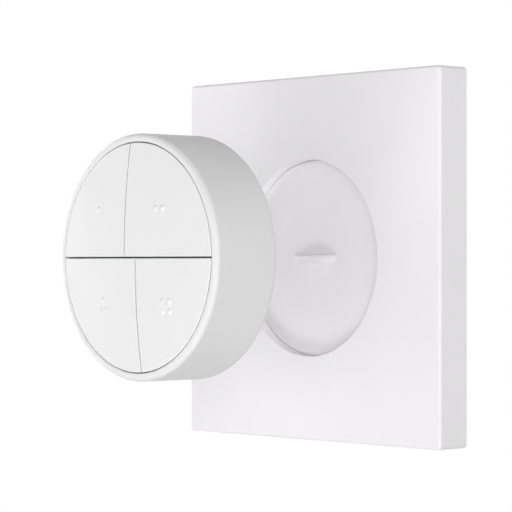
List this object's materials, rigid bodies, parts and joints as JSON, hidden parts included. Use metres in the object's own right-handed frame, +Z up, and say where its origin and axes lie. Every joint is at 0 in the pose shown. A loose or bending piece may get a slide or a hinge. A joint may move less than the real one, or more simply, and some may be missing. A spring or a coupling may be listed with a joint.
{
  "type": "smart button with dial and wall plate",
  "caption": "Round white control puck with a turning outer dial and domed push buttons marked by raised dots, lifted off a square wall plate with a docking dish.",
  "frame": {"origin": "centre of the wall plate's back face, on the wall plane", "axes": "+Z up the wall, +X to the right seen from the front, the front faces -Y and +Y points into the wall"},
  "size_m": [0.08, 0.0585, 0.08],
  "materials": {
    "shell_white": "fine satin moulded",
    "cap_white": "fine satin moulded",
    "inner_plastic": "plain moulded",
    "glide_plastic": "smooth",
    "rubber_grey": "matte",
    "adhesive_foam": "matte foam",
    "steel": "plated",
    "magnet": "nickel plated",
    "ferrite": "bonded ferrite",
    "contact_metal": "plated strip",
    "board": "solder mask",
    "chip_black": "moulded",
    "chip_brown": "ceramic"
  },
  "bodies": {
    "wall_plate": {"front_plate": "shell_white", "back_plate": "shell_white", "adhesive_strips": "adhesive_foam", "keeper_ring": "steel"},
    "puck": {"rear_housing": "shell_white", "foot_ring": "rubber_grey", "docking_magnets": "magnet", "housing_screws": "steel", "glide_ring": "glide_plastic", "coin_cell": "steel", "positive_contact": "contact_metal", "negative_contact": "contact_metal", "circuit_board": "board", "radio_module": "steel", "switch_bodies": "chip_black", "chip_capacitors": "chip_brown", "rotation_sensors": "chip_black", "button_frame": "inner_plastic"},
    "cover": {"battery_cover": "shell_white"},
    "dial": {"dial_ring": "shell_white", "pole_ring": "ferrite"},
    "button_1": {"button_cap_1": "cap_white", "switch_plunger_1": "inner_plastic"},
    "button_2": {"button_cap_2": "cap_white", "switch_plunger_2": "inner_plastic"},
    "button_3": {"button_cap_3": "cap_white", "switch_plunger_3": "inner_plastic"},
    "button_4": {"button_cap_4": "cap_white", "switch_plunger_4": "inner_plastic"}
  },
  "joints": [
    {"name": "puck_lift", "type": "slide", "parent": "wall_plate", "child": "puck", "axis": [0, -1, 0], "range_m": [-0.0319, 0]},
    {"name": "dial_turn", "type": "hinge", "parent": "puck", "child": "dial", "pos_m": [0, -0.0486, 0], "axis": [0, -1, 0], "continuous": true},
    {"name": "cover_turn", "type": "hinge", "parent": "puck", "child": "cover", "pos_m": [0, -0.0389, 0], "axis": [0, 1, 0], "range_deg": [0, 40]},
    {"name": "press_1", "type": "slide", "parent": "puck", "child": "button_1", "axis": [0, 1, 0], "range_m": [0, 0.0005], "stiffness_N_per_m": 400},
    {"name": "press_2", "type": "slide", "parent": "puck", "child": "button_2", "axis": [0, 1, 0], "range_m": [0, 0.0005], "stiffness_N_per_m": 400},
    {"name": "press_3", "type": "slide", "parent": "puck", "child": "button_3", "axis": [0, 1, 0], "range_m": [0, 0.0005], "stiffness_N_per_m": 400},
    {"name": "press_4", "type": "slide", "parent": "puck", "child": "button_4", "axis": [0, 1, 0], "range_m": [0, 0.0005], "stiffness_N_per_m": 400}
  ]
}
